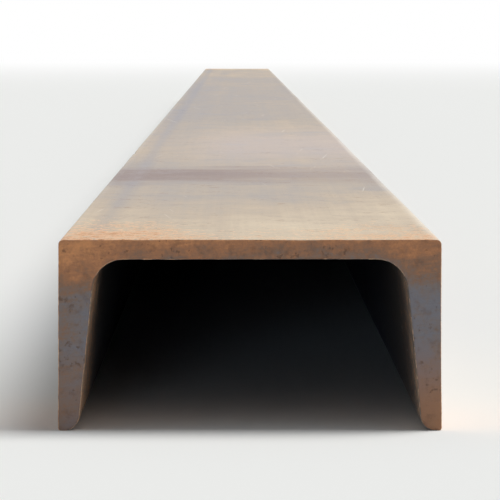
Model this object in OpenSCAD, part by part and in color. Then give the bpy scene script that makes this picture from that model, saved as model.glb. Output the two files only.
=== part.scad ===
// Hot-rolled steel channel with tapered flanges: one straight bar of stock, cut square at both ends.
// The bar lies on its toes with the back of its web on top. Its length runs along Y and its depth
// along X, and the origin is on the floor under the middle of the bar. Sizes are in millimetres.

/* [Section] */
// Depth of the section, from the back of one flange to the back of the other
section_depth = 100; // [80:1:200]
// Width of a flange, from the back of the web to the toe
flange_width = 50; // [40:1:80]
// Thickness of the web
web_thickness = 5.5; // [3:0.1:12]
// Thickness of a flange, halfway along its inner face
flange_thickness = 7.5; // [5:0.1:15]
// Slope of a flange's inner face against its back, in degrees
flange_slope = 6; // [0:0.5:10]

/* [Rounds] */
// Radius of the fillet between the web and a flange
root_radius = 8; // [2:0.5:15]
// Radius of the round on the inner edge of a toe
toe_radius = 4; // [1:0.5:6]
// Radius of the slight round on a heel, where the backs of the web and a flange meet
heel_radius = 1.5; // [0.5:0.1:3]

/* [Stock] */
// Length of the bar
bar_length = 6000; // [500:100:12000]

/* [Hidden] */
$fn = 96;

// Hot-rolled steel that has begun to rust
steel_colour = "#8f7a66";

// Least flat that the round leaves under a toe, for the bar to stand on
toe_flat = 0.5;

// How far a corner's sliver runs on past the corner, so that it joins or cuts cleanly
sliver_spare = 1;

// How far an arc oversteps the edges that it touches, so that each pair meets in one clear line
arc_overstep = 0.001;

// The inner face slopes about its middle, so a flange is thicker at its root than at its toe
half_depth = section_depth / 2;
outstand = flange_width - web_thickness;
taper = outstand / 2 * tan(flange_slope);
root_thickness = flange_thickness + taper;
toe_thickness = flange_thickness - taper;

// Sharp corners of the right-hand flange, with x across the depth and y up from the toes
heel_corner = [half_depth, flange_width];
foot_corner = [half_depth, 0];
toe_corner = [half_depth - toe_thickness, 0];
root_corner = [half_depth - root_thickness, outstand];

// Directions in which the edges of the section leave those corners
to_the_right = [1, 0];
to_the_left = [-1, 0];
down_the_back = [0, -1];
up_the_inner_face = [-sin(flange_slope), cos(flange_slope)];

// A toe can be rounded no further than its own thickness allows
toe_round = min(toe_radius, (toe_thickness - toe_flat) * tan(45 + flange_slope / 2));

// What lies between a sharp corner and an arc that touches both of its edges, with a little to spare
// beyond the corner. The edges leave the corner along the unit vectors edge_a and edge_b.
module corner_sliver(corner, edge_a, edge_b, radius) {
    half_angle = acos(edge_a * edge_b) / 2;
    reach = radius / tan(half_angle);
    middle = (edge_a + edge_b) / norm(edge_a + edge_b);
    centre = corner + middle * radius / sin(half_angle);
    difference() {
        polygon([corner - middle * sliver_spare, corner + edge_a * reach, centre, corner + edge_b * reach]);
        translate(centre) circle(r = radius + arc_overstep);
    }
}

// Right-hand half of the section with every corner sharp: half of the web, and one flange
module sharp_half_section() {
    web_middle = [[0, flange_width], [0, outstand]];
    polygon(concat(web_middle, [root_corner, toe_corner, foot_corner, heel_corner]));
}

// The same half as rolled: a fillet adds steel at the root, and rounds take it off the toe and the heel
module rolled_half_section() {
    difference() {
        union() {
            sharp_half_section();
            corner_sliver(root_corner, to_the_left, -up_the_inner_face, root_radius);
        }
        corner_sliver(toe_corner, to_the_right, up_the_inner_face, toe_round);
        corner_sliver(heel_corner, to_the_left, down_the_back, heel_radius);
    }
}

// Half of the bar: the section drawn out along Y, the same distance each way from the middle
module half_bar() {
    rotate([90, 0, 0])
        linear_extrude(height = bar_length, center = true)
            rolled_half_section();
}

// The whole bar, one piece of steel that is the same on both sides of its middle
module channel() {
    color(steel_colour) {
        half_bar();
        mirror([1, 0, 0]) half_bar();
    }
}

channel();
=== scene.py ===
# %% [markdown]
# # A bar of hot-rolled steel channel
#
# The real object is one piece of steel. Grooved rolls squeeze a red-hot billet into a C-shaped section
# with tapered flanges, and the bar is cut to length once it has cooled. Out of doors its skin of mill
# scale takes on a thin bloom of rust, and the bare cut ends rust first.
#
# The measured solid is loaded first, as a fixed frame. The bar's size and its section are read from it,
# so that what we add for the eye stays where the measured bar is.

# %% Load the measured bar
import math
import random
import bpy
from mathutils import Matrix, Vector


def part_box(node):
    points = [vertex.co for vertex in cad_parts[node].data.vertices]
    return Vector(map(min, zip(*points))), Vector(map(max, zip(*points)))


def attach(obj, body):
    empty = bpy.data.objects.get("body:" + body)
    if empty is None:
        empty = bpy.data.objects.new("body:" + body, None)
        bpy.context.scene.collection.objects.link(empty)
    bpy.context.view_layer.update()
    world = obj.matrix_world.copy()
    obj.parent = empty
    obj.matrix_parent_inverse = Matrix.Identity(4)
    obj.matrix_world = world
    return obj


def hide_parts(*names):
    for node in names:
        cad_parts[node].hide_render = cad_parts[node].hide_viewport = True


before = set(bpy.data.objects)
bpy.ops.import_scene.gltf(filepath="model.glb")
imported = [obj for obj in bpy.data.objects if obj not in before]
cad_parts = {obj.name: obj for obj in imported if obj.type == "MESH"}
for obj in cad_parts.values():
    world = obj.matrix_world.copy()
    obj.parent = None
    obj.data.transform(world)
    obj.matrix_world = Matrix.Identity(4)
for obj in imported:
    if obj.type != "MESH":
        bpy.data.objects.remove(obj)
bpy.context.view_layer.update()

from types import SimpleNamespace

import bpy
import numpy as np
from mathutils import Vector, geometry, noise

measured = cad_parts["channel"]
low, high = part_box("channel")
bar_length = high.y - low.y
depth = high.x - low.x
print(f"Measured bar: {bar_length:.3f} m long, {depth * 1000:.1f} mm deep, {high.z * 1000:.1f} mm high")

# %% [markdown]
# ## The camera
#
# The photograph looks straight along the bar, from just over a metre in front of its end and about five
# centimetres above its web. That is close, so the far end looks small. We could stay at this place and
# crop the picture later, but a longer lens does the same and keeps every pixel. The camera is aimed
# halfway between the nearest toes and the far heels, which puts the bar in the middle of the picture.

# %% Set up the camera
EYE_AHEAD = 1.19
EYE_ABOVE_WEB = 0.053
EYE_ASIDE = -0.004
NEAR_END_SHARE = 0.77
SENSOR_WIDTH = 36.0
NEAREST_SEEN = 0.01

eye = Vector((EYE_ASIDE, low.y - EYE_AHEAD, high.z + EYE_ABOVE_WEB))
slope_to_near_toes = (eye.z - low.z) / EYE_AHEAD
slope_to_far_heels = EYE_ABOVE_WEB / (high.y - eye.y)
aim = Vector((-EYE_ASIDE, EYE_AHEAD, -EYE_AHEAD * (slope_to_near_toes + slope_to_far_heels) / 2))

camera_data = bpy.data.cameras.new("camera")
camera_data.sensor_width = SENSOR_WIDTH
camera_data.lens = SENSOR_WIDTH * NEAR_END_SHARE * EYE_AHEAD / depth
camera_data.clip_start = NEAREST_SEEN
camera = bpy.data.objects.new("camera", camera_data)
camera.location = eye
camera.rotation_euler = aim.to_track_quat("-Z", "Y").to_euler()
bpy.context.scene.collection.objects.link(camera)
bpy.context.scene.camera = camera
bpy.context.scene.view_settings.view_transform = "Standard"
print(f"Camera: {camera_data.lens:.0f} mm lens, {EYE_AHEAD} m before the near end")

# %% [markdown]
# ## Small helpers for node trees
#
# A material is a tree of nodes. Written out one by one the nodes drown the idea, so these helpers add a
# node, set it and link it in one line. Colours are written as they are read off a screen, from 0 to 255,
# and turned into the linear values that the renderer works with.

# %% Helpers for colours and nodes
def screen(red, green, blue):
    """A colour as read off a screen, turned into a linear colour."""
    linear = []
    for value in (red, green, blue):
        share = value / 255
        linear.append(share / 12.92 if share <= 0.04045 else ((share + 0.055) / 1.055) ** 2.4)
    return (*linear, 1.0)


def feed(tree, socket, value):
    """Links an output to the socket, or sets the socket to a plain value."""
    if isinstance(value, bpy.types.NodeSocket):
        tree.links.new(value, socket)
    else:
        socket.default_value = value


def add(tree, kind, inputs=(), **settings):
    """Adds a node, sets it and feeds its inputs."""
    node = tree.nodes.new("ShaderNode" + kind)
    for name, value in settings.items():
        setattr(node, name, value)
    for name, value in dict(inputs).items():
        feed(tree, node.inputs[name], value)
    return node


def new_finish(name):
    """Starts a material. Returns it with its tree and its shader."""
    material = bpy.data.materials.new(name)
    material.use_nodes = True
    tree = material.node_tree
    return material, tree, tree.nodes["Principled BSDF"]


print("Helpers for colours and nodes are ready")

# %% Helpers for sums and colours in a tree
def maths(tree, operation, first, second=0.0):
    """One sum on two values, such as ADD or MULTIPLY."""
    return add(tree, "Math", {0: first, 1: second}, operation=operation).outputs[0]


def ease(tree, value, start, stop, before=0.0, after=1.0):
    """Goes smoothly from before to after as the value runs from start to stop."""
    inputs = {"Value": value, "From Min": start, "From Max": stop, "To Min": before, "To Max": after}
    return add(tree, "MapRange", inputs, interpolation_type="SMOOTHSTEP").outputs["Result"]


def total(tree, start, *parts):
    """Adds up a start and parts, each a value and its weight."""
    result = start
    for value, weight in parts:
        inputs = {0: value, 1: weight, 2: result}
        result = add(tree, "Math", inputs, operation="MULTIPLY_ADD").outputs[0]
    return result


def mix(tree, share, first, second):
    """Mixes two colours, which are sockets 6 and 7 of the node. A share of 0 gives the first."""
    node = add(tree, "Mix", {0: share}, data_type="RGBA")
    feed(tree, node.inputs[6], first)
    feed(tree, node.inputs[7], second)
    return node.outputs[2]


def lay(tree, under, over, mask, strength):
    """Lays one colour over another where the mask is 1, as strongly as strength says."""
    return mix(tree, maths(tree, "MULTIPLY", mask, strength), under, over)


def graded(tree, value, *stops):
    """Turns a value from 0 to 1 into a colour. Each stop is a place and its colour."""
    node = add(tree, "ValToRGB", {"Fac": value})
    elements = node.color_ramp.elements
    while len(elements) < len(stops):
        elements.new(1.0)
    for element, (place, colour) in zip(elements, stops):
        element.position = place
        element.color = colour
    return node.outputs["Color"]


print("Helpers for sums are ready")

# %% Helpers for noise and relief in a tree
def cloud(tree, place, scale=1.0, detail=4.0, roughness=0.55):
    """Soft noise about 0, from about -0.5 to 0.5, with lumps of one unit over scale."""
    inputs = {"Vector": place, "Scale": scale, "Detail": detail, "Roughness": roughness}
    return maths(tree, "SUBTRACT", add(tree, "TexNoise", inputs).outputs[0], 0.5)


def stretched(tree, place, across, along):
    """Places measured in lumps that are across wide and along long, with their length along the bar."""
    wide = maths(tree, "DIVIDE", 1.0, across)
    long = maths(tree, "DIVIDE", 1.0, along)
    sizes = add(tree, "CombineXYZ", {"X": wide, "Y": long, "Z": wide}).outputs[0]
    return add(tree, "VectorMath", {0: place, 1: sizes}, operation="MULTIPLY").outputs[0]


def attribute(tree, name):
    """A value that the mesh carries at each of its points."""
    return add(tree, "Attribute", attribute_name=name).outputs["Fac"]


def bumps(tree, height, rise, strength):
    """Turns a height from 0 to 1 into a normal, as if the surface stood up by rise."""
    inputs = {"Height": height, "Distance": rise, "Strength": strength}
    return add(tree, "Bump", inputs).outputs["Normal"]


print("Helpers for noise and relief are ready")

# %% [markdown]
# ## Floor and light
#
# The bar lies on a plain pale floor in a studio. A real sheet of backdrop paper curves up behind the
# object. Here the floor fades to white with distance instead, and meets a white surround with no line
# between them. One wide soft lamp stands for the hazy sun of the photograph. It shines from above, from
# the right and a little from behind, so the web is bright and the cut end is in open shade, lit by the
# surround and by the floor. A weak cool lamp low in front sends some light into the trough, as open sky
# would.

# %% Build the floor
FLOOR_RADIUS = 70.0
FLOOR_SIDES = 128
FADE_START = 3.5
FADE_END = 14.0
FLOOR_COLOUR = screen(245, 245, 244)
FLOOR_ROUGHNESS = 0.9
FLOOR_GLOSS = 0.1
WHITE = (1.0, 1.0, 1.0, 1.0)


def pale_floor():
    """Matt pale paint that turns to plain white in the distance."""
    material, tree, paint = new_finish("pale_floor")
    paint.inputs["Base Color"].default_value = FLOOR_COLOUR
    paint.inputs["Roughness"].default_value = FLOOR_ROUGHNESS
    paint.inputs["Specular IOR Level"].default_value = FLOOR_GLOSS
    place = add(tree, "TexCoord").outputs["Object"]
    distance = add(tree, "VectorMath", {0: place}, operation="LENGTH").outputs["Value"]
    far = ease(tree, distance, FADE_START, FADE_END)
    glow = add(tree, "Emission", {"Color": WHITE, "Strength": 1.0})
    both = add(tree, "MixShader", {0: far, 1: paint.outputs[0], 2: glow.outputs[0]})
    tree.links.new(both.outputs[0], tree.nodes["Material Output"].inputs["Surface"])
    return material


rim = []
for step in range(FLOOR_SIDES):
    turn = 2 * math.pi * step / FLOOR_SIDES
    rim.append((FLOOR_RADIUS * math.cos(turn), FLOOR_RADIUS * math.sin(turn), low.z))
floor_mesh = bpy.data.meshes.new("floor")
floor_mesh.from_pydata(rim, [], [range(FLOOR_SIDES)])
floor_mesh.materials.append(pale_floor())
floor = bpy.data.objects.new("floor", floor_mesh)
bpy.context.scene.collection.objects.link(floor)
print(f"Floor: {FLOOR_RADIUS:.0f} m in radius, at {low.z:.3f} m")

# %% Light the studio
SURROUND_LEVEL = 0.24
SURROUND_TINT = (0.88, 0.95, 1.0, 1.0)
SUN_PLACE = Vector((0.5, 0.25, 1.0))
SUN_LEVEL = 2.45
SUN_TINT = (1.0, 0.985, 0.955)
SUN_SPREAD = math.radians(42)
SKY_PLACE = Vector((-0.1, -1.0, 0.045))
SKY_LEVEL = 0.5
SKY_TINT = (0.7, 0.85, 1.0)
SKY_SPREAD = math.radians(9)


def soft_lamp(name, place, level, tint, spread):
    """A lamp so far away that it lights the whole length of the bar alike. Its spread makes it soft."""
    data = bpy.data.lights.new(name, "SUN")
    data.energy = level
    data.color = tint
    data.angle = spread
    lamp = bpy.data.objects.new(name, data)
    lamp.location = place * bar_length
    lamp.rotation_euler = (-place).to_track_quat("-Z", "Y").to_euler()
    bpy.context.scene.collection.objects.link(lamp)


def white_surround():
    """Soft light from all round, which the camera and reflections see as plain white."""
    world = bpy.data.worlds.new("surround")
    world.use_nodes = True
    tree = world.node_tree
    light = tree.nodes["Background"]
    light.inputs["Color"].default_value = SURROUND_TINT
    light.inputs["Strength"].default_value = SURROUND_LEVEL
    white = add(tree, "Background", {"Color": WHITE, "Strength": 1.0})
    path = add(tree, "LightPath").outputs
    seen = maths(tree, "MAXIMUM", path["Is Camera Ray"], path["Is Glossy Ray"])
    seen = maths(tree, "MAXIMUM", seen, path["Is Transmission Ray"])
    both = add(tree, "MixShader", {0: seen, 1: light.outputs[0], 2: white.outputs[0]})
    tree.links.new(both.outputs[0], tree.nodes["World Output"].inputs["Surface"])
    bpy.context.scene.world = world


white_surround()
soft_lamp("hazy_sun", SUN_PLACE, SUN_LEVEL, SUN_TINT, SUN_SPREAD)
soft_lamp("low_sky", SKY_PLACE, SKY_LEVEL, SKY_TINT, SKY_SPREAD)
print(f"Lamps: {[lamp.name for lamp in bpy.data.lights]}")

# %% [markdown]
# ## The outline of the section
#
# The section is a C: a web, two flanges whose inner faces slope, fillets at the roots and rounds at the
# toes and heels. We could draw it again from those sizes. Reading the outline off the end of the measured
# bar is safer, because it can't drift from it. The sides of the end's triangles that run only one way are
# its outline. Long straight stretches then get more points, so that later we can bend them a little, and
# the sharp outer corners of the feet get the small round that rolled steel has there.

# %% Read the outline from the measured bar
SAME_PLACE = 1e-5
KEPT_DIGITS = 7
POINT_GAP = 0.004
FOOT_ROUND = 0.0006
SHARP_TURN = math.radians(60)
QUARTER_ROUND_INSET = 1 - math.sqrt(0.5)


def end_outline(mesh, end_y):
    """The end's outline as a loop of (x, z), counter-clockwise from the right-hand foot."""
    sides = set()
    for face in mesh.polygons:
        corners = [mesh.vertices[index].co for index in face.vertices]
        if all(abs(corner.y - end_y) < SAME_PLACE for corner in corners):
            flat = [(round(corner.x, KEPT_DIGITS), round(corner.z, KEPT_DIGITS)) for corner in corners]
            sides.update(zip(flat, flat[1:] + flat[:1]))
    following = {start: stop for start, stop in sides if (stop, start) not in sides}
    loop = [max(following, key=lambda point: point[0] - point[1])]
    while len(loop) < len(following):
        loop.append(following[loop[-1]])
    return [Vector(point) for point in loop]


def soften(loop, size):
    """Cuts each sharp corner back to three points on a quarter round."""
    points = []
    for before, corner, after in zip(loop[-1:] + loop[:-1], loop, loop[1:] + loop[:1]):
        into = (before - corner).normalized()
        out = (after - corner).normalized()
        if into.angle(out) > math.pi - SHARP_TURN:
            points.append(corner)
            continue
        middle = (into + out) * size * QUARTER_ROUND_INSET
        points += [corner + into * size, corner + middle, corner + out * size]
    return points


def refine(loop, gap):
    """Adds points to the long sides, so that none is longer than gap."""
    points = []
    for start, stop in zip(loop, loop[1:] + loop[:1]):
        parts = math.ceil((stop - start).length / gap)
        points += [start.lerp(stop, part / parts) for part in range(parts)]
    return points


bare_outline = end_outline(measured.data, low.y)
outline = np.array(refine(soften(bare_outline, FOOT_ROUND), POINT_GAP))
around_count = len(outline)
side_lengths = np.linalg.norm(np.roll(outline, -1, axis=0) - outline, axis=1)
around = np.concatenate([[0.0], np.cumsum(side_lengths)])
print(f"Outline: {len(bare_outline)} measured points, {around_count} in all")
print(f"Length round the outline: {around[-1] * 1000:.1f} mm")

# %% [markdown]
# ## Inside and outside
#
# The trough of a channel stays damp and dark, while the backs of the web and flanges weather in the open.
# The finishes need to know which is which. They could guess it from the way a face points, but marking
# each outline point is simpler and never wrong. The loop starts at the right-hand foot and runs up and
# over the back, so everything up to the left-hand foot is outside.

# %% Mark the outline points
left_foot = int(np.argmin(outline[:, 0] + outline[:, 1]))
outer_points = np.arange(around_count) <= left_foot


def unit(vectors):
    """The same directions, each of length 1."""
    return vectors / np.linalg.norm(vectors, axis=1)[:, None]


def outward(loop):
    """Unit vectors that point out of the steel at each point of the loop."""
    before = loop - np.roll(loop, 1, axis=0)
    after = np.roll(loop, -1, axis=0) - loop
    run = unit(unit(before) + unit(after))
    return np.stack([run[:, 1], -run[:, 0]], axis=1)


normals = outward(outline)
print(f"Outside points: {outer_points.sum()}, inside points: {around_count - outer_points.sum()}")

# %% [markdown]
# ## Knocks along the edges
#
# Chains and forks leave small knocks on the heels of stock like this, and a few low on the backs of the
# flanges. They are dents one to four centimetres long and under a millimetre deep. A bump map could only
# shade them, so they are pressed into the mesh, and the mesh gets extra rings where each of them lies.

# %% Choose the knocks
KNOCKS = 16
KNOCK_SEED = 11
KNOCK_REACH = (0.006, 0.022)
KNOCK_DEPTH = (0.0003, 0.0009)
SHARE_ON_HEELS = 0.8
LOW_KNOCK_HEIGHT = 0.012
CLEAR_OF_ENDS = 0.05

chance = random.Random(KNOCK_SEED)
knocks = []
for _ in range(KNOCKS):
    side = chance.choice((-1, 1))
    height = high.z if chance.random() < SHARE_ON_HEELS else low.z + LOW_KNOCK_HEIGHT
    spot = (side * depth / 2, chance.uniform(low.y + CLEAR_OF_ENDS, high.y - CLEAR_OF_ENDS), height)
    knocks.append((spot, chance.uniform(*KNOCK_REACH), chance.uniform(*KNOCK_DEPTH)))
print(f"Knocks: {KNOCKS}, the deepest {max(knock[2] for knock in knocks) * 1000:.2f} mm")

# %% [markdown]
# ## Rings along the bar
#
# The skin is a loft: the outline is repeated as rings along the bar and joined. Rings set as close all
# the way as they are at the cut ends would come to over a million faces. Little detail is needed in
# between, so the gaps grow from less than a millimetre at an end to about 16 mm along the bar.

# %% Place the rings
FIRST_RING = 0.0009
FIRST_GAP = 0.0006
GAP_GROWTH = 0.12
WIDEST_GAP = 0.016
KNOCK_STEPS = (-1.5, -0.75, 0.0, 0.75, 1.5)
CLOSEST_RINGS = 0.0005


def ring_places():
    """Where the rings lie along the bar, from the near end to the far end."""
    half = [FIRST_RING]
    while half[-1] < bar_length / 2:
        half.append(half[-1] + min(WIDEST_GAP, FIRST_GAP + GAP_GROWTH * half[-1]))
    half = [place for place in half if place < bar_length / 2]
    places = [low.y + place for place in half] + [high.y - place for place in half]
    for (_, spot_y, _), reach, _ in knocks:
        places += [spot_y + reach * step for step in KNOCK_STEPS]
    places.sort()
    kept = places[:1]
    for place in places[1:]:
        if place - kept[-1] > CLOSEST_RINGS:
            kept.append(place)
    return np.array(kept)


ring_y = ring_places()
print(f"Rings: {len(ring_y)}, the widest gap {np.diff(ring_y).max() * 1000:.1f} mm")

# %% [markdown]
# ## Relief of the rolled skin
#
# A rolled face is never dead flat. Worn rolls leave long shallow waves, and scale that is rolled in and
# falls out leaves ripples. A Displace modifier could make both. Moving the points in code lets us choose
# where: steel is only taken away, so the bar stays within its measured size, and nothing is taken from
# under the toes, which have to stand on the floor.

# %% Define the relief
WAVE_DEPTH = 0.00022
WAVE_WIDTH = 0.045
WAVE_LENGTH = 0.30
RIPPLE_DEPTH = 0.00007
RIPPLE_WIDTH = 0.009
RIPPLE_LENGTH = 0.05
TOE_KEPT = 0.004
TOE_WORN = 0.015


def lumps(points, across, along):
    """Noise from 0 to 1 at each point, in lumps with their length along the bar."""
    scaled = points / (across, along, across)
    return np.array([0.5 + 0.5 * noise.noise(point) for point in scaled]).clip(0, 1)


def worn_away(points):
    """How deep the surface lies below the measured one at each point."""
    depths = WAVE_DEPTH * lumps(points, WAVE_WIDTH, WAVE_LENGTH)
    depths += RIPPLE_DEPTH * lumps(points, RIPPLE_WIDTH, RIPPLE_LENGTH)
    for spot, reach, deepest in knocks:
        depths += deepest * np.exp(-(np.linalg.norm(points - spot, axis=1) / reach) ** 2)
    return depths * ((points[:, 2] - low.z - TOE_KEPT) / (TOE_WORN - TOE_KEPT)).clip(0, 1)


print(f"Relief: up to {(WAVE_DEPTH + RIPPLE_DEPTH) * 1000:.2f} mm, and deeper in the knocks")

# %% [markdown]
# ## The cut edges
#
# Where the end was cut the edge is not a knife edge. It is broken and slightly rounded, more in some
# places than in others. A Bevel modifier would round it evenly. Instead three extra rings turn the corner
# from the end face to the skin, on a round whose size wanders along the outline.

# %% Loft the skin
EDGE_ROUND = 0.00045
LEAST_ROUND_SHARE = 0.35
ROUND_SHARE_SPREAD = 1.3
EDGE_WANDER = 0.004
EDGE_TURNS = (0.0, math.pi / 4, math.pi / 2)


def placed(flat, y):
    """Points (x, z) of the section, placed along the bar at y."""
    return np.column_stack([flat[:, 0], np.broadcast_to(y, len(flat)), flat[:, 1]])


def edge_ring(end_y, inward, turn):
    """A ring on the broken edge of an end. A turn of 0 lies on the end face."""
    wander = lumps(placed(outline, end_y), EDGE_WANDER, EDGE_WANDER)
    sizes = EDGE_ROUND * (LEAST_ROUND_SHARE + ROUND_SHARE_SPREAD * wander)
    inset = outline - normals * (sizes * (1 - math.sin(turn)))[:, None]
    return placed(inset, end_y + inward * sizes * (1 - math.cos(turn)))


rings = [edge_ring(low.y, 1, turn) for turn in EDGE_TURNS]
rings += [placed(outline, place) for place in ring_y]
rings += [edge_ring(high.y, -1, turn) for turn in reversed(EDGE_TURNS)]
skin = np.array(rings)
ring_count = len(skin)
skin_normals = placed(normals, 0.0)
for ring in skin:
    ring -= skin_normals * worn_away(ring)[:, None]
print(f"Skin: {ring_count} rings of {around_count} points")

# %% [markdown]
# ## The end faces
#
# A saw or a shear leaves an end face with a grain of its own: shallow furrows, and a step where the steel
# tore off. A single flat polygon could not carry that, so the face is filled with small triangles round a
# grid of points, by a constrained Delaunay fill that keeps to the outline.

# %% Choose points inside the end faces
FILL_GAP = 0.0016
FILL_CLEARANCE = FILL_GAP * 0.6


def distance_to_path(points, starts, stops):
    """Distance from each point to the nearest of the straight pieces of a path."""
    along = stops - starts
    lengths = (along ** 2).sum(1)
    share = ((points[:, None] - starts) * along).sum(2) / lengths
    nearest = starts + along * share.clip(0, 1)[:, :, None]
    return np.linalg.norm(points[:, None] - nearest, axis=2).min(1)


def within(points, loop):
    """Whether each point lies inside the loop."""
    x, z = points[:, 0, None], points[:, 1, None]
    x1, z1 = loop.T
    x2, z2 = np.roll(loop, -1, axis=0).T
    rise = np.where(z2 == z1, 1.0, z2 - z1)
    crosses = ((z1 > z) != (z2 > z)) & (x < x1 + (z - z1) * (x2 - x1) / rise)
    return crosses.sum(1) % 2 == 1


def fill_points(loop):
    """A staggered grid of points inside the loop and clear of it."""
    rows = []
    row_gap = FILL_GAP * math.sqrt(0.75)
    for row, z in enumerate(np.arange(low.z, high.z, row_gap)):
        shift = FILL_GAP / 2 * (row % 2)
        x = np.arange(low.x + shift, high.x, FILL_GAP)
        rows.append(np.column_stack([x, np.full(len(x), z)]))
    points = np.concatenate(rows)
    clear = distance_to_path(points, loop, np.roll(loop, -1, axis=0)) > FILL_CLEARANCE
    return points[clear & within(points, loop)]


print(f"Points on the end faces: {FILL_GAP * 1000:.1f} mm apart")

# %% Fill the end faces
FURROW_DEPTH = 0.00012
FURROW_WIDTH = 0.0035
FURROW_LENGTH = 0.014
TEAR_DEPTH = 0.00016
KEEP_INSIDE = 1
FILL_PRECISION = 1e-9


def outside_share(points):
    """0 along the trough, 1 along the back, and in between on the end face."""
    path = np.concatenate([outline, outline[:1]])
    split = left_foot + 1
    to_back = distance_to_path(points, path[:split - 1], path[1:split])
    to_trough = distance_to_path(points, path[split:-1], path[split + 1:])
    return to_trough / (to_trough + to_back)


def end_face(edge, end_y, inward):
    """Fills an end. Returns its inner points and its triangles, which count the edge's points first."""
    loop = edge[:, [0, 2]]
    inner = fill_points(loop)
    flat = [Vector(point) for point in np.concatenate([loop, inner])]
    border = [list(range(len(loop)))]
    filled = geometry.delaunay_2d_cdt(flat, [], border, KEEP_INSIDE, FILL_PRECISION)
    _, _, fill_faces, fill_sources, _, _ = filled
    triangles = [[fill_sources[index][0] for index in face] for face in fill_faces]
    points = placed(inner, end_y)
    squeezed = points * (1, 0, FURROW_WIDTH / FURROW_LENGTH)
    furrows = FURROW_DEPTH * lumps(squeezed, FURROW_WIDTH, 1.0)
    tear = TEAR_DEPTH * (1 - outside_share(inner)) ** 2
    points[:, 1] += inward * (furrows + tear)
    return points, triangles


near_points, near_triangles = end_face(skin[0], low.y, 1)
far_points, far_triangles = end_face(skin[-1], high.y, -1)
print(f"End faces: {len(near_triangles)} and {len(far_triangles)} triangles")

# %% [markdown]
# ## One closed mesh
#
# The skin's rings are joined with four-sided faces and the ends with triangles. Separate pieces for the
# skin and the ends would be easier to make, but the steel is one piece, so the bar is one closed mesh.
# Its points carry two values for the finishes: how far it is to the nearest cut end, and whether the
# point is on the outside.

# %% Join the faces
SKIN, CUT = 0, 1

points = np.concatenate([skin.reshape(-1, 3), near_points, far_points])
faces = []
finishes = []
for ring in range(ring_count - 1):
    on_cut = ring == 0 or ring == ring_count - 2
    here = ring * around_count
    there = here + around_count
    for step in range(around_count):
        after = (step + 1) % around_count
        faces.append((here + step, there + step, there + after, here + after))
        finishes.append(CUT if on_cut else SKIN)

near_inner = ring_count * around_count
far_inner = near_inner + len(near_points)
last_ring = near_inner - around_count
for triangles, edge, inner, turn in (
    (near_triangles, 0, near_inner, 1),
    (far_triangles, last_ring, far_inner, -1),
):
    for triangle in triangles:
        corners = [edge + i if i < around_count else inner + i - around_count for i in triangle]
        faces.append(tuple(corners[::turn]))
        finishes.append(CUT)
triangle_count = sum(len(face) - 2 for face in faces)
print(f"Bar: {len(points)} points, {triangle_count} triangles")

# %% Build the bar
bar_mesh = bpy.data.meshes.new("channel_bar")
bar_mesh.from_pydata(points.tolist(), [], faces)
bar_mesh.polygons.foreach_set("material_index", finishes)
bar_mesh.polygons.foreach_set("use_smooth", [True] * len(faces))

skin_outside = np.tile(outer_points, ring_count)
cut_points = np.concatenate([near_points, far_points])
values = {
    "from_end": np.minimum(points[:, 1] - low.y, high.y - points[:, 1]),
    "outside": np.concatenate([skin_outside, outside_share(cut_points[:, [0, 2]])]),
}
for name, value in values.items():
    layer = bar_mesh.attributes.new(name, "FLOAT", "POINT")
    layer.data.foreach_set("value", value.astype(np.float32))
bar_mesh.validate()
bar = bpy.data.objects.new("channel_bar", bar_mesh)
bpy.context.scene.collection.objects.link(bar)
print(f"Values at each point: {list(values)}")

# %% [markdown]
# ## A map for the skin
#
# When the finishes are baked into a picture, the picture has to cover six metres of bar. Unwrapped in one
# strip it would be sixteen times as long as wide. We cut the length into four strips and lay them side by
# side. The end strips are short and the middle ones long, so the ends get the finer picture, and the two
# end faces have a row of their own.

# %% Lay out the map
BAKE_MAP = "OFBake"
STRIP_ENDS = (0.12, 0.5, 0.88, 1.0)
STRIP_WIDTH = 1 / len(STRIP_ENDS)
END_ROW = 0.21
END_SCALE = 3.9
MAP_MARGIN = 0.004

ring_middles = skin[:, :, 1].mean(1)


def strip_corners(number, start, stop):
    """The map places of the faces' corners between two rings, laid out as one strip."""
    u_around = MAP_MARGIN + (STRIP_WIDTH - 2 * MAP_MARGIN) * around / around[-1]
    u = number * STRIP_WIDTH + u_around
    middles = ring_middles[start:stop + 1]
    share = (middles - middles[0]) / (middles[-1] - middles[0])
    v = END_ROW + MAP_MARGIN + (1 - END_ROW - 2 * MAP_MARGIN) * share
    corners = np.empty((stop - start, around_count, 4, 2))
    corners[:, :, [0, 1], 0] = u[:-1, None]
    corners[:, :, [2, 3], 0] = u[1:, None]
    corners[:, :, [0, 3], 1] = v[:-1, None, None]
    corners[:, :, [1, 2], 1] = v[1:, None, None]
    return corners.reshape(-1, 2)


def end_corners():
    """The map places of the end triangles' corners, with the near end on the left."""
    end_faces = faces[-len(near_triangles) - len(far_triangles):]
    corners = points[[index for face in end_faces for index in face]]
    left = np.where(corners[:, 1] < 0, MAP_MARGIN, 0.5 + MAP_MARGIN)
    u = left + (corners[:, 0] - low.x) * END_SCALE
    v = MAP_MARGIN + (corners[:, 2] - low.z) * END_SCALE
    return np.column_stack([u, v])


strip_stops = [int(np.argmin(abs(ring_middles - low.y - share * bar_length))) for share in STRIP_ENDS]
strip_starts = [0] + strip_stops[:-1]
map_places = []
for number, (start, stop) in enumerate(zip(strip_starts, strip_stops)):
    map_places.append(strip_corners(number, start, stop))
map_places.append(end_corners())
bake_map = bar_mesh.uv_layers.new(name=BAKE_MAP)
bake_map.uv.foreach_set("vector", np.concatenate(map_places).astype(np.float32).ravel())
print(f"Map: {len(STRIP_ENDS)} strips and a row of end faces")

# %% [markdown]
# ## Effects that the finishes share
#
# Blotches, pits and streaks turn up on the skin and on the cut ends alike, at other sizes and strengths.
# Their nodes could be copied into each material. Each is a node group with named inputs instead, built
# once. A group only puts out a mask or a height: the shader itself stays in the material.

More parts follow.
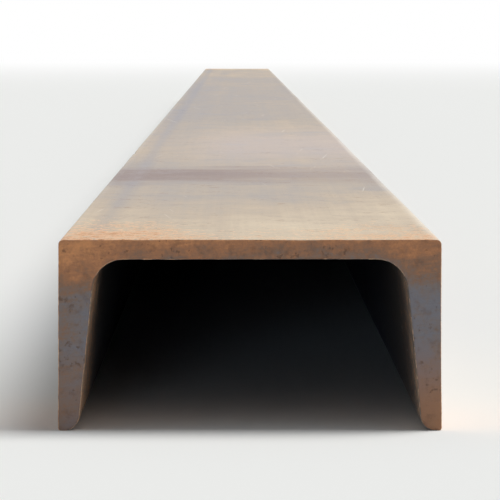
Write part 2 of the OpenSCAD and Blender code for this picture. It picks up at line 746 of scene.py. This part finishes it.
# %% Helpers for node groups
def new_group(name, output, **defaults):
    """Starts a group with a place and some numbers. Returns its tree, its inputs and its output."""
    tree = bpy.data.node_groups.new(name, "ShaderNodeTree")
    tree.interface.new_socket("Place", in_out="INPUT", socket_type="NodeSocketVector")
    for label, value in defaults.items():
        socket = tree.interface.new_socket(label, in_out="INPUT", socket_type="NodeSocketFloat")
        socket.default_value = value
    tree.interface.new_socket(output, in_out="OUTPUT", socket_type="NodeSocketFloat")
    given = tree.nodes.new("NodeGroupInput").outputs
    return tree, given, tree.nodes.new("NodeGroupOutput").inputs[output]


def use(tree, group, place, **inputs):
    """Puts a group in a tree, feeds its inputs and returns what it puts out."""
    node = tree.nodes.new("ShaderNodeGroup")
    node.node_tree = group
    feed(tree, node.inputs["Place"], place)
    for name, value in inputs.items():
        feed(tree, node.inputs[name], value)
    return node.outputs[0]


print("Helpers for node groups are ready")

# %% Group for rolling streaks
def make_streaks():
    """Fine lines along the bar, from about -0.5 to 0.5."""
    tree, given, streak = new_group("rolling_streaks", "Streak", Width=0.004, Run=0.8)
    place = stretched(tree, given["Place"], given["Width"], given["Run"])
    feed(tree, streak, cloud(tree, place, detail=3.0, roughness=0.6))
    return tree


streaks = make_streaks()
print(f"Group: {streaks.name}")

# %% Group for blotches
NOISE_REACH = 0.25


def make_blotches():
    """Ragged patches that cover a given share of the surface, as rust and stains do."""
    tree, given, blotch = new_group("blotches", "Blotch", Width=0.03, Run=0.06, Cover=0.5, Softness=0.1)
    place = stretched(tree, given["Place"], given["Width"], given["Run"])
    ragged = cloud(tree, place, detail=6.0, roughness=0.62)
    middle = total(tree, NOISE_REACH, (given["Cover"], -2 * NOISE_REACH))
    start = maths(tree, "SUBTRACT", middle, given["Softness"])
    stop = maths(tree, "ADD", middle, given["Softness"])
    feed(tree, blotch, ease(tree, ragged, start, stop))
    return tree


blotches = make_blotches()
print(f"Group: {blotches.name}")

# %% Group for pits
CROWD_SCALE = 0.13
FEWEST_PITS_LEVEL = 0.24
PIT_SIDES = 0.09


def make_pits():
    """Small ragged pits, set thickly in some places and hardly at all in others."""
    tree, given, pit = new_group("pits", "Pit", Size=0.003, Cover=0.3)
    scale = maths(tree, "DIVIDE", 1.0, given["Size"])
    holes = cloud(tree, given["Place"], scale, detail=3.0, roughness=0.6)
    crowd = cloud(tree, given["Place"], maths(tree, "MULTIPLY", scale, CROWD_SCALE), detail=2.0)
    start = total(tree, FEWEST_PITS_LEVEL, (given["Cover"], -0.25), (crowd, -0.5))
    feed(tree, pit, ease(tree, holes, start, maths(tree, "ADD", start, PIT_SIDES)))
    return tree


pits = make_pits()
print(f"Group: {pits.name}")

# %% [markdown]
# ## The rolled skin
#
# Mill scale is a hard grey oxide with a hint of blue and a dull metal sheen. On this bar a thin film of
# tan rust and dust has settled over it. Where the film is thick the steel looks cream, and where it is
# thin the scale shows through. Painting each patch by hand would take a picture. Instead one value, the
# thickness of the film, picks the colour, and that value is a sum of what the weather and the rolls did.
#
# First we collect what all parts of the finish need: where a point is, which way it faces, and noise of
# several sizes, so that the film, the rust and the relief vary together. The ranges here and below are
# for ease: where it starts and stops and, if not 0 and 1, what it goes from and to.

# %% Collect what the finish depends on
HEEL = (high.x, 0.0, high.z)
WEB_FACING = (0.3, 0.8)
DRIFT_SIZE = (0.06, 0.5)
PATCH_SIZE = (0.022, 0.04)
MOTTLE_SCALE = 260.0
STIPPLE_SCALE = 620.0
FINE_STREAKS = {"Width": 0.0018, "Run": 0.6}


def distance_to(tree, corner, x, z):
    """How far it is to a corner of the section, on its left-hand or right-hand side alike."""
    folded = add(tree, "CombineXYZ", {"X": maths(tree, "ABSOLUTE", x), "Z": z}).outputs[0]
    return add(tree, "VectorMath", {0: folded, 1: corner}, operation="DISTANCE").outputs["Value"]


def skin_marks(tree):
    """Where a point of the skin is and how the skin varies there, as named values."""
    place = add(tree, "TexCoord").outputs["Object"]
    x, y, z = add(tree, "SeparateXYZ", {0: place}).outputs
    facing = add(tree, "NewGeometry").outputs["Normal"]
    up = add(tree, "SeparateXYZ", {0: facing}).outputs["Z"]
    return SimpleNamespace(
        place=place,
        x=x,
        y=y,
        up=up,
        on_web=ease(tree, up, *WEB_FACING),
        trough=maths(tree, "SUBTRACT", 1.0, attribute(tree, "outside")),
        to_heel=distance_to(tree, HEEL, x, z),
        from_end=attribute(tree, "from_end"),
        drift=cloud(tree, stretched(tree, place, *DRIFT_SIZE), detail=4.0),
        patch=cloud(tree, stretched(tree, place, *PATCH_SIZE), detail=7.0, roughness=0.65),
        mottle=cloud(tree, place, MOTTLE_SCALE, detail=5.0, roughness=0.7),
        stipple=cloud(tree, place, STIPPLE_SCALE, detail=4.0, roughness=0.7),
        fine=use(tree, streaks, place, **FINE_STREAKS),
    )


print("Noise for the skin: drifts, patches, mottling, stipple and fine streaks")

# %% [markdown]
# ## Marks on the web
#
# A dull mauve band crosses the web about half a metre from the near end. Behind it a paler, pinker
# patch is a painted sheen of the sky seen at a grazing angle, and a thin grey line runs along the
# left-hand heel. Each mark is a soft band about a middle. Straight bands would look printed, so noise is
# added to the distance from the middle, which makes the edges ragged.

# %% Define the marks on the web
MAUVE_BAND_MIDDLE = low.y + 0.55
MAUVE_BAND_HALF_WIDTH = 0.15
MAUVE_BAND_LUMPS = 30.0
MAUVE_BAND_BY_SIDE = (0.03, -0.02, 0.55, 1.0)
SHEEN_PATCH_MIDDLE = low.y + 1.05
SHEEN_PATCH_HALF_WIDTH = 0.6
SHEEN_PATCH_LUMPS = 12.0
SHEEN_PATCH_BY_SIDE = (-0.035, 0.0, 0.2, 1.0)
GREY_LINE_MIDDLE = low.x + 0.0095
GREY_LINE_HALF_WIDTH = 0.005


def band_on_web(tree, at, place, middle, half_width, *raggedness):
    """A soft band on the web, 1 along its middle and 0 beyond half its width, with ragged edges."""
    off_middle = maths(tree, "ABSOLUTE", maths(tree, "SUBTRACT", place, middle))
    ragged = total(tree, off_middle, *raggedness)
    return maths(tree, "MULTIPLY", ease(tree, ragged, half_width, 0.0), at.on_web)


def mauve_band_on_web(tree, at):
    """The mauve band across the web, strongest on its left-hand side."""
    lumpy = cloud(tree, at.place, MAUVE_BAND_LUMPS, detail=5.0)
    band = band_on_web(tree, at, at.y, MAUVE_BAND_MIDDLE, MAUVE_BAND_HALF_WIDTH, (lumpy, 0.2))
    return maths(tree, "MULTIPLY", band, ease(tree, at.x, *MAUVE_BAND_BY_SIDE))


def painted_sheen_on_web(tree, at):
    """A faint patch behind the mauve band, paler and less yellow: a painted sheen of the sky."""
    lumpy = cloud(tree, at.place, SHEEN_PATCH_LUMPS, detail=6.0)
    raggedness = ((lumpy, 0.4), (at.stipple, 0.1))
    band = band_on_web(tree, at, at.y, SHEEN_PATCH_MIDDLE, SHEEN_PATCH_HALF_WIDTH, *raggedness)
    return maths(tree, "MULTIPLY", band, ease(tree, at.x, *SHEEN_PATCH_BY_SIDE))


def grey_line_on_web(tree, at):
    """A thin line along the left-hand heel, where the film is thin."""
    return band_on_web(tree, at, at.x, GREY_LINE_MIDDLE, GREY_LINE_HALF_WIDTH, (at.mottle, 0.004))


# Where the mauve band lies, and the patch of painted sheen behind it
print(f"Stain: {MAUVE_BAND_MIDDLE - low.y:.2f} m from the near end, bloom: {SHEEN_PATCH_MIDDLE - low.y:.2f} m")

# %% [markdown]
# ## The film on the scale
#
# The film is thick on the web, which faces the sky, and thickest near the cut ends. Further along it is
# thinner, which paints in the grey of a grazing reflection of the sky. It is thin in the trough, where
# the darker, bluer scale is partly painted shade, on the grey line, and where ragged patches of scale
# still cling or flakes of the film have come off. All of this goes into one sum, in which each part has
# its weight. Streaks from the rolls are kept faint: strong ones would look like the grain of wood.

# %% Define the film
FILM_BY_FACING = (-0.2, 0.9, 0.42, 0.64)
FILM_AT_END = (0.5, 0.0)
FILM_PAST_MAUVE_BAND = (0.6, 0.85)
FILM_THINNED_AS_PAINTED_REFLECTION = (1.2, 1.8)
FILM_LEFTWARD = (0.02, -0.045)
CLINGING_SIZE = (0.045, 0.11)
CLINGING_EDGE = (0.0, 0.16)
CLINGING_BY_END = (0.06, 0.5, 0.25, 1.0)
FLAKES = {"Width": 0.006, "Run": 0.01, "Cover": 0.22, "Softness": 0.03}
COARSE_STREAKS = {"Width": 0.012, "Run": 2.2}


def clinging_scale(tree, at):
    """Ragged patches of scale that the film hasn't covered, fewer near the cut ends."""
    ragged = cloud(tree, stretched(tree, at.place, *CLINGING_SIZE), detail=9.0, roughness=0.72)
    patches = ease(tree, total(tree, ragged, (at.stipple, 0.35)), *CLINGING_EDGE)
    return maths(tree, "MULTIPLY", patches, ease(tree, at.from_end, *CLINGING_BY_END))


def film_thickness(tree, at):
    """How thick the film is, from 0 on bare scale to 1 where it looks cream."""
    return total(
        tree,
        ease(tree, at.up, *FILM_BY_FACING),
        (ease(tree, at.from_end, *FILM_AT_END), 0.28),
        (ease(tree, at.from_end, *FILM_PAST_MAUVE_BAND), 0.08),
        # Thinner, greyer film far from the ends: a painted grazing reflection of the sky
        (ease(tree, at.from_end, *FILM_THINNED_AS_PAINTED_REFLECTION), -0.13),
        (ease(tree, at.x, *FILM_LEFTWARD), -0.03),
        # Thinner film in the trough makes it darker and bluer: bare scale, and partly painted shade
        (at.trough, -0.2),
        (at.drift, 0.4),
        (at.patch, 0.32),
        (at.mottle, 0.22),
        (at.fine, 0.12),
        (use(tree, streaks, at.place, **COARSE_STREAKS), 0.2),
        (clinging_scale(tree, at), -0.2),
        (at.stipple, 0.22),
        (use(tree, blotches, at.place, **FLAKES), -0.1),
        (grey_line_on_web(tree, at), -0.16),
    )


print(f"Film: thickest within {FILM_AT_END[0]:.1f} m of the cut ends")

# %% [markdown]
# ## Rust on the skin
#
# Orange rust creeps in from the cut ends, further in some places than in others and furthest at the
# left-hand corner of the web. It has a brown core and a pale halo, so again one value, the depth of the
# rust, picks the colour. On the web the halo is paler than rust alone, a painted sheen of the sun, and
# off the web the rust counts deeper and darker. A front of rust is not a line: it breaks up into freckles
# that thin out, so fine noise counts for more here than coarse. Specks of the same rust are scattered
# along the bar.

# %% Define the rust
END_RUST_REACH = 0.19
END_RUST_WANDER = 0.14
END_RUST_LUMPS = 45.0
END_RUST_CREEP = (END_RUST_REACH, 0.0, -0.5, 0.12)
LEFT_CORNER = (-0.004, -0.03, 0.25, 1.0)
RIGHT_CORNER = (0.01, 0.042, 0.25, 0.7)
CORNER_RUST_REACH = (0.45, 0.15)
SPECK_SIZE = (0.005, 0.009)
NO_SPECKS = -0.62


def rusty_corners(tree, at):
    """1 at an end's left-hand corner, less at its right-hand one, least between, and 0 along the bar."""
    left = ease(tree, at.x, *LEFT_CORNER)
    right = ease(tree, at.x, *RIGHT_CORNER)
    near_end = ease(tree, at.from_end, *CORNER_RUST_REACH)
    return maths(tree, "MULTIPLY", maths(tree, "MAXIMUM", left, right), near_end)


def rust_depth(tree, at):
    """How deep the rust is. Below 0.2 there is none, and at 1 it is brown."""
    wander = cloud(tree, at.place, END_RUST_LUMPS)
    to_end = total(tree, at.from_end, (wander, END_RUST_WANDER))
    creep = total(
        tree,
        ease(tree, to_end, *END_RUST_CREEP),
        (rusty_corners(tree, at), 0.42),
        # Deeper off the web, so the pale halo, partly a painted sheen, stays on the sunlit web
        (maths(tree, "SUBTRACT", 1.0, at.on_web), 0.1),
        (at.trough, -0.25),
        (at.patch, 0.6),
        (at.drift, 0.4),
        (at.mottle, 1.3),
        (at.stipple, 1.6),
    )
    lumpy = cloud(tree, stretched(tree, at.place, *SPECK_SIZE), detail=4.0)
    specks = total(tree, NO_SPECKS, (lumpy, 3.4), (at.patch, 0.9))
    return maths(tree, "MAXIMUM", creep, specks)


print(f"Rust: about {END_RUST_REACH * 1000:.0f} mm in from the cut ends")

# %% [markdown]
# ## Rubs, a painted heel highlight and scratches
#
# Handling leaves bright metal: long rubs on the heels, where chains slid along, and thin scratches at a
# slight angle to the bar. The rubs are strongest on the right-hand heel, whose bright line is partly a
# painted highlight. A scratch is a very long, very thin streak, so the streaks of the rolls can be used
# again, turned a little and cut off so that only their crests show.

# %% Define the rubs and the painted heel highlight
SCRATCH_TURNS = (math.radians(2.5), math.radians(-4))
SCRATCHES = {"Width": 0.0016, "Run": 0.25}
SCRATCH_CREST = (0.19, 0.25)
RUB_AND_HIGHLIGHT_PATCHES = {"Width": 0.02, "Run": 0.3, "Cover": 0.68, "Softness": 0.2}
RUB_AND_HIGHLIGHT_REACH = 0.0036
RUBS_AND_HIGHLIGHT_BY_SIDE = (-0.02, 0.02, 0.3, 1.0)


def scratches(tree, at):
    """Thin bright marks at a slight angle to the bar."""
    marks = []
    for turn in SCRATCH_TURNS:
        inputs = {"Vector": at.place, "Angle": turn}
        turned = add(tree, "VectorRotate", inputs, rotation_type="Z_AXIS").outputs[0]
        marks.append(ease(tree, use(tree, streaks, turned, **SCRATCHES), *SCRATCH_CREST))
    return maths(tree, "MAXIMUM", *marks)


def heel_rubs_and_highlight(tree, at):
    """Long rubs on the heels, most of all on the right-hand one, where they are partly a painted
    highlight.
    """
    rubs = use(tree, blotches, at.place, **RUB_AND_HIGHLIGHT_PATCHES)
    rubs = maths(tree, "MULTIPLY", rubs, ease(tree, at.x, *RUBS_AND_HIGHLIGHT_BY_SIDE))
    ragged = total(tree, at.to_heel, (at.mottle, 0.003), (at.fine, 0.002))
    return maths(tree, "MULTIPLY", ease(tree, ragged, RUB_AND_HIGHLIGHT_REACH, RUB_AND_HIGHLIGHT_REACH / 3), rubs)


print(f"Scratches: {SCRATCHES['Width'] * 1000:.1f} mm wide, in {len(SCRATCH_TURNS)} directions")

# %% [markdown]
# ## The skin's material
#
# Now the parts are put together: the film's colour, then a patch of painted sheen and the mauve band,
# rust over them, and then pits and bare metal, which on the right-hand heel is partly a painted
# highlight.
# Thin film lets the scale's sheen through, so it is smoother and more metallic there, and rust is dull.
# A plain grey metal with a rust picture on top would have one sheen all over.
# The same values drive the relief, so that a flake is seen and also catches the light.

# %% Colour the rolled skin
MILL_SCALE = screen(84, 88, 98)
BLUE_SCALE = screen(124, 119, 124)
THIN_FILM = screen(149, 139, 132)
TAN_FILM = screen(176, 160, 141)
CREAM_FILM = screen(202, 186, 162)
# Pale rust, partly a painted sheen
RUST_HALO_AND_SHEEN = screen(246, 204, 166)
ORANGE_RUST = screen(190, 122, 74)
BROWN_RUST = screen(118, 74, 51)
# Bright bare steel, which on the right-hand heel is partly a painted highlight
BARE_STEEL_AND_HIGHLIGHT = screen(226, 220, 210)
MAUVE_BAND_COLOUR = screen(120, 101, 99)
LILAC_PAINTED_SHEEN = screen(178, 166, 166)
FILM_STOPS = (
    (0.0, MILL_SCALE),
    (0.32, BLUE_SCALE),
    (0.56, THIN_FILM),
    (0.78, TAN_FILM),
    (1.0, CREAM_FILM),
)
RUST_STOPS = ((0.45, RUST_HALO_AND_SHEEN), (0.76, ORANGE_RUST), (1.0, BROWN_RUST))
RUST_SHOWS = (0.2, 0.5)
SKIN_PITS = {"Size": 0.003, "Cover": 0.34}
RUB_AND_HIGHLIGHT_STRENGTH = 0.4
SCRATCH_STRENGTH = 0.4


def skin_wear(tree, at):
    """Rust, pits, scratches and bare metal on the skin, as named values. The bare metal on the right-hand
    heel is partly a painted highlight.
    """
    rust = rust_depth(tree, at)
    scratch = scratches(tree, at)
    scratched = maths(tree, "MULTIPLY", scratch, SCRATCH_STRENGTH)
    rubs_and_highlight = maths(tree, "MULTIPLY", heel_rubs_and_highlight(tree, at), RUB_AND_HIGHLIGHT_STRENGTH)
    return SimpleNamespace(
        rust=rust,
        rusted=ease(tree, rust, *RUST_SHOWS),
        pit=use(tree, pits, at.place, **SKIN_PITS),
        scratch=scratch,
        # Bare metal from scratches and rubs, and partly a painted highlight on the right-hand heel
        bare=maths(tree, "MAXIMUM", rubs_and_highlight, scratched),
    )


def skin_colour(tree, at, film, wear):
    """The film's colour, with the marks, rust, pits and bare metal laid over it in turn. The bare metal
    on the right-hand heel is partly a painted highlight.
    """
    rust_colour = graded(tree, wear.rust, *RUST_STOPS)
    colour = graded(tree, film, *FILM_STOPS)
    # A patch of painted sheen behind the band, then the mauve band itself
    colour = lay(tree, colour, LILAC_PAINTED_SHEEN, painted_sheen_on_web(tree, at), strength=0.5)
    colour = lay(tree, colour, MAUVE_BAND_COLOUR, mauve_band_on_web(tree, at), strength=0.85)
    colour = lay(tree, colour, rust_colour, wear.rusted, strength=0.9)
    colour = lay(tree, colour, BROWN_RUST, wear.pit, strength=0.55)
    return mix(tree, wear.bare, colour, BARE_STEEL_AND_HIGHLIGHT)


print(f"Colours: {len(FILM_STOPS)} for the film and {len(RUST_STOPS)} for the rust")

# %% Make the rolled skin
METAL_BY_FILM = (0.9, 0.3, 0.45, 0.85)
ROUGHNESS_BY_FILM = (0.25, 0.9, 0.42, 0.6)
GRAIN_SCALE = 1400.0
SKIN_RISE = 0.00014
STEEL_GLOSS = 0.25


def skin_height(tree, at, film, wear):
    """How high the finish stands: film and rust are raised, and pits and scratches are sunk."""
    return total(
        tree,
        0.0,
        (film, 0.8),
        (cloud(tree, at.place, GRAIN_SCALE, detail=3.0, roughness=0.7), 0.4),
        (at.fine, 0.3),
        (at.mottle, 0.4),
        (wear.pit, -0.8),
        (wear.rusted, 0.4),
        (wear.scratch, -0.3),
    )


def rolled_skin():
    """Mill scale under a film of rust."""
    material, tree, shader = new_finish("rolled_skin")
    at = skin_marks(tree)
    film = film_thickness(tree, at)
    wear = skin_wear(tree, at)
    sheen = maths(tree, "SUBTRACT", ease(tree, film, *METAL_BY_FILM), wear.rusted)
    metal = total(tree, maths(tree, "MAXIMUM", sheen, 0.0), (wear.bare, 0.3))
    dullness = ease(tree, film, *ROUGHNESS_BY_FILM)
    roughness = total(tree, dullness, (wear.rusted, 0.2), (wear.bare, -0.18), (at.mottle, 0.2))
    height = skin_height(tree, at, film, wear)
    feed(tree, shader.inputs["Base Color"], skin_colour(tree, at, film, wear))
    feed(tree, shader.inputs["Metallic"], metal)
    feed(tree, shader.inputs["Roughness"], roughness)
    feed(tree, shader.inputs["Normal"], bumps(tree, height, SKIN_RISE, strength=0.8))
    shader.inputs["Specular IOR Level"].default_value = STEEL_GLOSS
    return material


bar_mesh.materials.append(rolled_skin())
print(f"Finish: {bar_mesh.materials[SKIN].name}")

# %% [markdown]
# ## The cut ends
#
# The cut laid bare steel open to the rain. The web's end has rusted to an orange brown, deepest at the
# roots, and the ends of the flanges are a greyer brown, with the grey showing most towards the trough,
# where the steel tore off. The toes are tan, the right-hand one most of all: partly rust, and partly a
# painted warm reflection. One brown all over would look painted, so again one value picks the colour: how
# far the rust has gone. The saw's marks are the same streaks as on the skin, turned to run across the
# end.

# %% Define the rust of a cut end
WEB_RISE = (high.z - 0.016, high.z - 0.004)
BACK_BY_HEIGHT = (*WEB_RISE, 0.4, 1.0)
RUST_BY_SIDE = (-0.03, 0.04, 0.16, 0.0)
ROOT_PLACE = (high.x - 0.010, 0.0, high.z - 0.008)
ROOT_REACH = 0.014
ROOTS_BY_SIDE = (0.02, -0.02, 0.6, 1.0)
CUT_DRIFT_SCALE = 110.0
SPECKLE_SCALE = 900.0
SAW_MARKS = {"Width": 0.0012, "Run": 0.022}
SAW_SLOPE = math.radians(7)
ACROSS_THE_END = math.radians(90)


def cut_marks(tree):
    """Where a point of a cut end is and how the steel varies there, as named values."""
    place = add(tree, "TexCoord").outputs["Object"]
    x, _, z = add(tree, "SeparateXYZ", {0: place}).outputs
    inputs = {"Vector": place, "Rotation": (0.0, SAW_SLOPE, ACROSS_THE_END)}
    turned = add(tree, "VectorRotate", inputs, rotation_type="EULER_XYZ").outputs[0]
    return SimpleNamespace(
        place=place,
        x=x,
        z=z,
        outside=attribute(tree, "outside"),
        drift=cloud(tree, place, CUT_DRIFT_SCALE, detail=8.0, roughness=0.68),
        speckle=cloud(tree, place, SPECKLE_SCALE, detail=4.0, roughness=0.7),
        saw=use(tree, streaks, turned, **SAW_MARKS),
    )


def cut_rust(tree, at):
    """How far the rust has gone on a cut end: furthest on the web, towards its back, and at the roots."""
    on_web = ease(tree, at.z, *WEB_RISE)
    towards_back = maths(tree, "MULTIPLY", at.outside, ease(tree, at.z, *BACK_BY_HEIGHT))
    at_root = ease(tree, distance_to(tree, ROOT_PLACE, at.x, at.z), ROOT_REACH, 0.0)
    at_root = maths(tree, "MULTIPLY", at_root, ease(tree, at.x, *ROOTS_BY_SIDE))
    return total(
        tree,
        ease(tree, at.x, *RUST_BY_SIDE),
        (towards_back, 0.3),
        (on_web, 0.36),
        (at_root, 0.22),
        (at.drift, 1.3),
        (at.speckle, 0.6),
        (at.saw, 0.45),
    )


print(f"Saw marks: {math.degrees(SAW_SLOPE):.0f} degrees off level")

# %% Make the cut ends
CUT_GREY = screen(119, 116, 121)
CUT_MAUVE = screen(126, 111, 104)
CUT_BROWN = screen(138, 106, 86)
CUT_RUST = screen(168, 118, 86)
CUT_ORANGE = screen(206, 144, 98)
CRUST = screen(96, 71, 57)
TOE_TAN_AND_REFLECTION = screen(154, 110, 80)
CUT_STOPS = (
    (0.0, CUT_GREY),
    (0.25, CUT_MAUVE),
    (0.45, CUT_BROWN),
    (0.68, CUT_RUST),
    (1.0, CUT_ORANGE),
)
TOE_HEIGHT = (0.027, 0.004)
TOE_TAN_AND_REFLECTION_BY_SIDE = (-0.04, 0.04, 0.3, 0.9)
CUT_PITS = {"Size": 0.0014, "Cover": 0.4}
CRUST_SPOTS = {"Width": 0.003, "Run": 0.003, "Cover": 0.3, "Softness": 0.1}
PIT_STRENGTH = 0.6
CRUST_STRENGTH = 0.35
ROUGHNESS_BY_RUST = (0.1, 0.8, 0.66, 0.92)
CUT_RISE = 0.0002


def cut_end():
    """Rusted steel as a saw or a shear leaves it."""
    material, tree, shader = new_finish("cut_end")
    at = cut_marks(tree)
    rusted = cut_rust(tree, at)
    # Tan toes, strongest on the right: partly rust, partly a painted warm reflection
    at_toe = maths(tree, "MULTIPLY", ease(tree, at.z, *TOE_HEIGHT), ease(tree, at.x, *TOE_TAN_AND_REFLECTION_BY_SIDE))
    pit = use(tree, pits, at.place, **CUT_PITS)
    pitted = maths(tree, "MULTIPLY", pit, PIT_STRENGTH)
    crust = maths(tree, "MULTIPLY", use(tree, blotches, at.place, **CRUST_SPOTS), CRUST_STRENGTH)
    dark = maths(tree, "MAXIMUM", crust, pitted)
    colour = mix(tree, at_toe, graded(tree, rusted, *CUT_STOPS), TOE_TAN_AND_REFLECTION)
    height = total(tree, 0.0, (at.drift, 1.2), (at.speckle, 0.6), (at.saw, 1.4), (pit, -0.8))
    feed(tree, shader.inputs["Base Color"], mix(tree, dark, colour, CRUST))
    feed(tree, shader.inputs["Roughness"], ease(tree, rusted, *ROUGHNESS_BY_RUST))
    feed(tree, shader.inputs["Normal"], bumps(tree, height, CUT_RISE, strength=0.7))
    shader.inputs["Specular IOR Level"].default_value = STEEL_GLOSS
    return material


bar_mesh.materials.append(cut_end())
print(f"Finish: {bar_mesh.materials[CUT].name}")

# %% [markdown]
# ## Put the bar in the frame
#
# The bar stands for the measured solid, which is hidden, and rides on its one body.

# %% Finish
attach(bar, "root")
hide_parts("channel")
